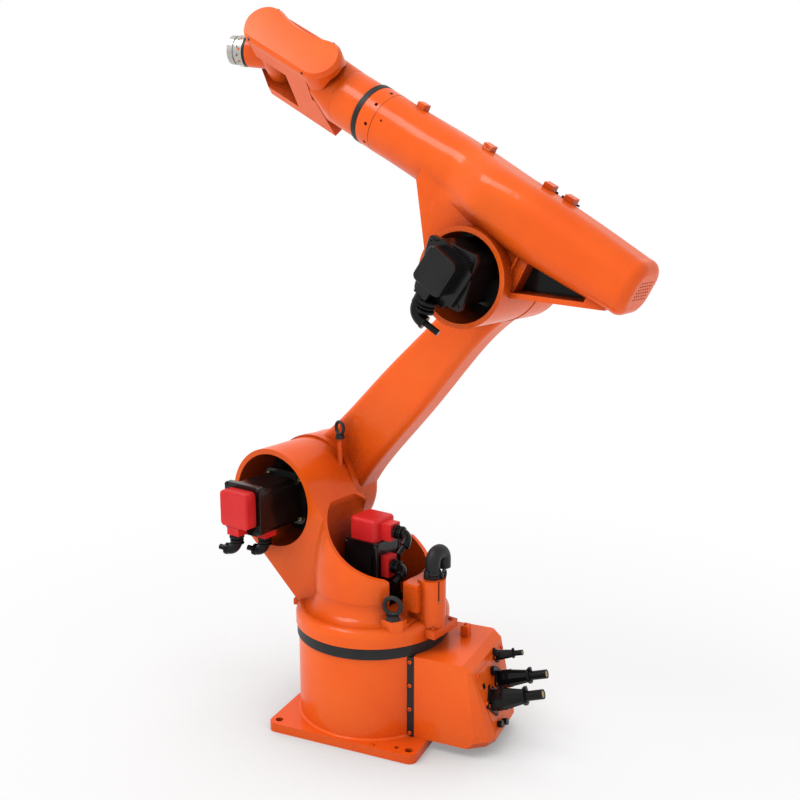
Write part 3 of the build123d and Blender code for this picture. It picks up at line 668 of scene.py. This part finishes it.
def cable_plug(node, y, share, r, collar, neck, length, end_r, raised):
    """Cable plug on a square foot: faceted sleeve, clamp nut and cable end, raised by an angle."""
    foot_t = 5.0
    at = on_slope(y, share)
    start = at + slope_out * (foot_t - 1.0)
    out = Vector((-cos(radians(raised)), 0, sin(radians(raised))))
    axis = spot(ground, start, out)
    foot = plate(r * 2.2, r * 2.2, foot_t, r * 0.2, 0.7)
    sleeve = [
        (0, -2), (r * 0.96, -2), (r * 0.96, collar * 0.3), (r, collar * 0.36), (r, collar * 0.62),
        (r * 0.97, collar * 0.66), (r, collar), (r * 0.93, collar + 1.5), (neck, length * 0.62),
        (0, length * 0.62),
    ]
    thin = [
        (0, length * 0.6), (neck * 0.9, length * 0.6), (neck * 0.9, length * 0.68), (end_r, length * 0.69),
        (end_r, length), (end_r * 0.8, length), (end_r * 0.8, length - 1), (0, length - 1),
    ]
    nut_at = start + out * (length * 0.61)
    lug_at = nut_at + out * (length * 0.03) + slope_up * neck
    lug = plate(neck * 0.8, neck * 0.6, neck * 0.5, 0.8, 0.3)
    parts = [
        (foot, spot(ground, at, slope_out, 45, side=slope_up)),
        (turned(sleeve, 10), axis),
        (turned(thin, 24), axis),
        (toothed(neck * 1.24, 0.4, length * 0.05, 18), spot(ground, nut_at, out)),
        (lug, spot(ground, lug_at, out, side=slope_up)),
    ]
    made = piece(node + "_sleeve", "base", black, parts, 20.0)
    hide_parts(node)
    foot_screw = cap_screw(r * 0.13 + 0.7, 1.6)
    screws = [
        (foot_screw, spot(ground, start + way * r * 1.22, slope_out))
        for way in (Vector((0, 1, 0)), Vector((0, -1, 0)), slope_up, -slope_up)
    ]
    tip = turned([(0, 0.4), (end_r * 0.68, 0.4), (end_r * 0.68, -1)])
    return screws, (tip, spot(ground, start + out * (length - 1.2), out))


screws, tips = [], []
for numbers in (
    ("cable_plug_small", -30, 0.89, 9.5, 10, 7, 50, 5, 17),
    ("cable_plug_middle", -18, 0.585, 16.5, 22, 11, 90, 8, 18),
    ("cable_plug_lower", 30, 0.455, 19.5, 25, 12.5, 94, 8.6, 19),
):
    foot_screws, tip = cable_plug(*numbers)
    screws += foot_screws
    tips.append(tip)
piece("plug_foot_screws", "base", orange, screws)
piece("plug_cable_cores", "base", core, tips)

# Turntable: end plates of the shoulder motor and tie rods of the upright one, with their screws
motor_seat_y = 28
motor_seat_t = 8
motor_end_y = 138
motor_end_t = 12
motor_middle = shoulder_height + 4
upright_seat_z = 234.6
upright_top_z = 347.6
rod_h = 105
rod = turned([(5, 0), (5, rod_h - 1), (4, rod_h), (0, rod_h)], 20)
end_plate = plate(90, 88, motor_end_t, 7, 1.0)
seat_plate = plate(100, 100, motor_seat_t, 14, 1.0)
parts = [(end_plate, spot(table, (shoulder_reach, motor_end_y, motor_middle), near_side))]
parts.append((seat_plate, spot(table, (shoulder_reach, motor_seat_y, shoulder_height), near_side)))
parts += [(rod, spot(table, (i * 33, k * 33, upright_seat_z + 3.9))) for i, k in corners]
piece("turntable_motor_plates", "turntable", motor, parts)
seat_front = (shoulder_reach, motor_seat_y + motor_seat_t, shoulder_height)
parts = four_corners(table, seat_front, 38, 38, cap_screw(4.6, 4.0))
parts += [(cap_screw(4.0, 3.6), spot(table, (i * 40, k * 40, upright_seat_z))) for i, k in corners]
boss_out = (-22.3, 11.2, 0)
parts.append((cap_screw(2.0, 1.4), spot(table, (-155.9, 12.1, 262), boss_out)))
piece("turntable_zinc_screws", "turntable", zinc, parts)
end_front = (shoulder_reach, motor_end_y + motor_end_t, motor_middle)
parts = four_corners(table, end_front, 39, 40, cap_screw(2.8, 2.0))
parts += [(cap_screw(2.8, 2.4), spot(table, (i * 32, k * 32, upright_top_z))) for i, k in corners]
tube_floor = (shoulder_reach, -17, shoulder_height)
parts += bolt_circle(table, tube_floor, 76, around(16, 0.5), cap_screw(4.2, 4.0), near_side)
piece("turntable_black_screws", "turntable", oxide, parts)

# Clamp rings of the four elbow plugs on the turntable
parts = []
for at, out, r in (
    ((-52.5, 1, 366.6), rearward, 9.0),
    ((-53, 10, 304.6), rearward, 9.0),
    ((184, 162, 358.2), down, 9.5),
    ((167, 108, 344), down, 9.5),
):
    for step, grow, height in ((1.2, 1.42, 5.0), (8.5, 1.3, 2.6), (13.5, 1.36, 4.0)):
        place = spot(table, Vector(at) + Vector(out) * step, out)
        parts.append((toothed(r * grow, 0.7, height, 22), place))
piece("turntable_plug_rings", "turntable", black, parts)

# Hose clamp with its screw, a ring on the boss, and the hexagon nuts of the lifting eyes
parts = [(turned([(14.0, 0), (15.4, 0.8), (15.4, 5.2), (14.0, 6)], 32), spot(table, (-133, 0, 305)))]
parts.append((plate(9, 6, 4, 1.5, 0.6), spot(table, (-133, 14.5, 308), near_side)))
parts.append((hoop(8.5, 2.6), spot(table, (-149, -12, 303), (1, 0.25, 0))))
parts.append((nut(9.5, 3.6, 0.8, 0.6), spot(table, (104, -36, 508))))
parts.append((nut(12.5, 4, 0.9, 0.8), spot(table, (-103, 78, 238.6))))
piece("hose_clamp_and_eye_nuts", "turntable", mats["eye_black"], parts)

# Painted shade of a slot in the boss, lug on the rim and screws on the rear block
# Painted shade: a thin black plate stands for the slot in the boss
boss_slot_shade = (plate(38, 1.8, 0.7, 0.6, 0.1), spot(table, (-155.2, 13.2, 280), boss_out))
piece("boss_slot_shade", "turntable", dark, [boss_slot_shade])
lug_r, lug_angle = 139, radians(28)
lug_side = (cos(lug_angle), sin(lug_angle), 0)
lug_at = (lug_r * cos(lug_angle), lug_r * sin(lug_angle), 207)
parts = [(plate(22, 11, 11, 2, 1), spot(table, lug_at, side=lug_side))]
parts += [(cap_screw(4.0, 3.0), spot(table, (-149, y, 211.6))) for y in (-35, 21)]
parts.append((cap_screw(2.6, 1.8), spot(table, (-112, 36, 242.6))))
piece("rim_lug_and_screws", "turntable", orange, parts)

# Link arm: gear covers and bolt circles on its far side
link_side = -129.6
cover_side = link_side - 3
parts = []
for at, r in ((0, 62), (link_length, 50)):
    groove = [(r - 22, 4), (r - 20, 3), (r - 6, 3), (r - 4, 4)]
    cover = turned([(0, 4), *groove, (r - 1.5, 4), (r, 2.6), (r, 0)], 48)
    parts.append((cover, spot(link, (at, link_side, 0), far_side)))
piece("link_gear_covers", "link_arm", orange, parts)
parts = []
for at, r, bolts in ((0, 82, 16), (link_length, 65, 12)):
    parts += bolt_circle(link, (at, link_side, 0), r, around(bolts, 0.5), cap_screw(4.2, 4.2), far_side)
for at, r in ((0, 51), (link_length, 39)):
    parts += bolt_circle(link, (at, cover_side, 0), r, around(6), cap_screw(2.6, 2.2), far_side)
piece("link_bolts", "link_arm", oxide, parts)

# Forearm: dark seam of the tube's collar, and black discs and plates of painted shade for the holes of the
# collar and the vent holes of the rear cover
seam = turned([(tube_r - 0.3, 0), (tube_r + 0.2, 0.1), (tube_r + 0.2, 0.8), (tube_r - 0.3, 0.9)], 72)
parts = [(seam, spot(arm, (282.0, 0, arm_offset), (1, 0, 0)))]
hole = turned([(0, 0.3), (2.4, 0.3), (2.9, 0.1), (2.9, -0.6)], 20)
small_hole = turned([(0, 0.3), (1.1, 0.3), (1.4, 0.1), (1.4, -0.4)], 14)


def on_tube(x, angle, r):
    """Place on the forearm's tube, by its angle from the near side in degrees."""
    a = radians(angle)
    return spot(arm, (x, r * cos(a), arm_offset + r * sin(a)), (0, cos(a), sin(a)))


# Painted shade: black discs stand proud of the tube for its holes
parts += [(hole, on_tube(291.8, 34 - 40 * k, tube_r)) for k in range(9)]
parts.append((small_hole, on_tube(266.6, 13.8, tube_r + 0.2)))
# Painted shade: small black plates stand for the vent holes
vent = plate(1.9, 1.5, 0.35, 0.6, 0.1)
for row in range(6):
    for column in range(7):
        parts.append((vent, spot(arm, (-250.05, 15 + column * 6.4, 110 + row * 5.4), (-1, 0, 0))))
piece("forearm_seam_and_hole_shade", "forearm", dark, parts)

# Forearm: the square boss nearest to the wrist, screws, and plates and plug rings of the elbow motor
piece("front_boss", "forearm", orange, [(plate(17, 17, 14, 2, 1), spot(arm, (235, -2, 166)))])
elbow_motor = arm @ shift(5, 8) @ tilt(-8.0)
elbow_end_y = 112
elbow_end_t = 9
parts = [(cap_screw(2.6, 2.4), spot(arm, (x, 12, 171.6))) for x in (-52, -64, -92)]
parts += bolt_circle(arm, (0, -14, 0), 61, around(12, 0.5), cap_screw(3.8, 3.6), near_side)
parts.append((cap_screw(2.6, 2.0), spot(arm, (-72, 27, 4), near_side)))
parts += four_corners(elbow_motor, (0, elbow_end_y + elbow_end_t, 0), 38, 38, cap_screw(3.2, 2.6))
piece("forearm_black_screws", "forearm", oxide, parts)
parts = [(plate(92, 92, elbow_end_t, 8, 1.2), spot(elbow_motor, (0, elbow_end_y, 0), near_side))]
parts.append((plate(98, 98, 8, 16, 1.2), spot(elbow_motor, (0, 22, 0), near_side)))
piece("elbow_motor_plates", "forearm", motor, parts)
parts = []
for step, grow, height in ((1.2, 1.5, 6.0), (9.5, 1.36, 3.0), (15, 1.44, 5.0)):
    parts.append((toothed(10 * grow, 0.8, height, 22), spot(elbow_motor, (3, 138, -43 - step), down)))
piece("elbow_plug_rings", "forearm", black, parts)

# Wrist: screws of the belt cover on black posts of painted shade for their pockets, and a round cover on
# the far cheek
pocket_floor = 66.5
# Painted shade: a black post stands for the shade inside each screw pocket
pocket = turned([(3.3, 0), (3.3, 7.2), (3.0, 7.5), (0, 7.5)], 24)
cover_corners = ((3, -35.4), (-131, -35.4), (1, 35), (-136, 35))
pockets = [(pocket, spot(wrist, (x, pocket_floor, z), near_side)) for x, z in cover_corners]
piece("cover_screw_pocket_shade", "wrist_roll", dark, pockets)
cheek_cover = turned([(0, 2.6), (26, 2.6), (28.5, 1.4), (28.5, 0)], 48)
piece("far_cheek_cover", "wrist_roll", orange, [(cheek_cover, spot(wrist, (0, -53, 0), far_side))])
screw_foot = pocket_floor + 6.9
parts = [(cap_screw(2.7, 2.0), spot(wrist, (x, screw_foot, z), near_side)) for x, z in cover_corners]
parts += bolt_circle(wrist, (0, -55.4, 0), 22, around(6), cap_screw(2.6, 2.0), far_side)
piece("wrist_screws", "wrist_roll", oxide, parts)

# Tool flange: painted dots round its rim, and black plates of painted shade for small slots
flange_r = 27


def on_flange(x, angle, side=None):
    """Place on the flange's rim, by its angle from the near side in degrees."""
    a = radians(angle)
    return spot(hand, (x, flange_r * cos(a), flange_r * sin(a)), (0, cos(a), sin(a)), side=side)


dot = turned([(0, 0.5), (1.7, 0.5), (2.2, 0.1), (2.2, -0.8)], 18)
piece("flange_dots", "tool_flange", orange, [(dot, on_flange(66.6, 45 * k + 12)) for k in range(8)])
# Painted shade: thin black plates stand for the slots
slot = plate(1.0, 5.0, 0.3, 0.4, 0.1)
slots = [(slot, on_flange(70.6, 30 * k + 5, (1, 0, 0))) for k in range(12)]
piece("flange_slot_shade", "tool_flange", dark, slots)

# Camera at the photograph's place, in metres, fitted to an image 800 pixels wide
image_width = 800.0
focal_pixels = 1022.6
cam_data = bpy.data.cameras.new("camera")
cam = new_object("camera", cam_data)
cam_data.sensor_width = 36.0
cam_data.lens = focal_pixels * cam_data.sensor_width / image_width
cam_data.clip_end = 60.0
yaw, pitch = radians(-65.95), radians(-11.77)
look = Vector((cos(pitch) * cos(yaw), cos(pitch) * sin(yaw), sin(pitch)))
right = look.cross(Vector((0, 0, 1))).normalized()
up = right.cross(look)
cam_at = Matrix.Translation((-0.7708, 1.604, 0.9714))
cam.matrix_world = cam_at @ Matrix((right, up, -look)).transposed().to_4x4()
scene.camera = cam

# Floor: shaded by the lamps near the arm so that it keeps the shadow, with a painted shadow in its glow
# under the parts, plain white for the eye farther out


def seen_rays(tree):
    """1 for camera, mirror and glass rays, 0 for the light that falls on the object."""
    path = tree.nodes.new("ShaderNodeLightPath")
    direct = maths(tree, "MAXIMUM", path.outputs["Is Camera Ray"], path.outputs["Is Glossy Ray"])
    return maths(tree, "MAXIMUM", direct, path.outputs["Is Transmission Ray"])


def floor_material():
    """White floor whose glow for the eye grows with the distance from the arm, the glow darkened by a
    painted shadow where parts stand close.
    """
    material, tree, shader = new_material("floor_white")
    mottle = noise(tree, 3.0)
    colour = ramp(tree, mottle.outputs["Fac"], [(0.2, (0.93, 0.93, 0.93)), (0.8, (0.95, 0.95, 0.95))])
    tree.links.new(colour.outputs["Color"], shader.inputs["Base Color"])
    shader.inputs["Roughness"].default_value = 0.8
    shader.inputs["Specular IOR Level"].default_value = 0.1
    coords = tree.nodes.new("ShaderNodeTexCoord")
    distance = tree.nodes.new("ShaderNodeVectorMath")
    distance.operation = "LENGTH"
    tree.links.new(coords.outputs["Object"], distance.inputs[0])
    fade = tree.nodes.new("ShaderNodeMapRange")
    fade.interpolation_type = "SMOOTHSTEP"
    fade.inputs["From Min"].default_value = 0.4
    fade.inputs["From Max"].default_value = 1.5
    fade.inputs["To Min"].default_value = 0.76
    fade.inputs["To Max"].default_value = 1.0
    tree.links.new(distance.outputs["Value"], fade.inputs["Value"])
    plain_share = maths(tree, "MULTIPLY", fade.outputs["Result"], seen_rays(tree))
    glow = tree.nodes.new("ShaderNodeEmission")
    glow.inputs["Strength"].default_value = 1.0
    # Painted shadow: ambient occlusion darkens the glow's colour round the base
    covered = tree.nodes.new("ShaderNodeAmbientOcclusion")
    covered.samples = 8
    covered.inputs["Distance"].default_value = 0.45
    painted_floor_shadow = ramp(tree, covered.outputs["AO"], [(0.3, (0.35, 0.35, 0.35)), (0.9, (1.0, 1.0, 1.0))])
    tree.links.new(painted_floor_shadow.outputs["Color"], glow.inputs["Color"])
    both = tree.nodes.new("ShaderNodeMixShader")
    tree.links.new(plain_share, both.inputs["Fac"])
    tree.links.new(shader.outputs["BSDF"], both.inputs[1])
    tree.links.new(glow.outputs["Emission"], both.inputs[2])
    tree.links.new(both.outputs["Shader"], tree.nodes["Material Output"].inputs["Surface"])
    return material


bpy.ops.mesh.primitive_plane_add(size=40)
floor = bpy.context.object
floor.name = "floor"
floor.data.materials.append(floor_material())
floor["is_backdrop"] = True

# World: dim white light on the object, full white for the eye
world = bpy.data.worlds.new("studio")
scene.world = world
world.use_nodes = True
world_tree = world.node_tree
light = world_tree.nodes["Background"]
light.inputs["Color"].default_value = (1, 1, 1, 1)
light.inputs["Strength"].default_value = 0.5
white = world_tree.nodes.new("ShaderNodeBackground")
white.inputs["Color"].default_value = (1, 1, 1, 1)
white.inputs["Strength"].default_value = 1.0
either = world_tree.nodes.new("ShaderNodeMixShader")
world_tree.links.new(seen_rays(world_tree), either.inputs["Fac"])
world_tree.links.new(light.outputs["Background"], either.inputs[1])
world_tree.links.new(white.outputs["Background"], either.inputs[2])
world_tree.links.new(either.outputs["Shader"], world_tree.nodes["World Output"].inputs["Surface"])


def lamp(name, at, to, size, power, mirrored=True):
    """Soft box of a width and height; mirrored says whether it shows in the lacquer."""
    data = bpy.data.lights.new(name, "AREA")
    data.shape = "RECTANGLE"
    data.size, data.size_y = size
    data.energy = power
    obj = new_object(name, data)
    obj.location = at
    obj.rotation_euler = (Vector(to) - Vector(at)).to_track_quat("-Z", "Y").to_euler()
    obj.visible_glossy = mirrored


lamp("key", (1.6, 1.7, 4.0), (0, 0, 0.7), (2.2, 1.4), 80)
lamp("front", (0.1, 3.3, 1.5), (0, 0, 0.6), (1.8, 1.8), 12, False)
lamp("side", (-2.6, 0.6, 2.0), (0, 0, 0.6), (1.2, 1.2), 5, False)
lamp("back", (0.2, -2.2, 3.0), (0, 0, 0.7), (1.2, 1.2), 12, False)

scene.view_settings.view_transform = "Standard"

low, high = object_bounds()
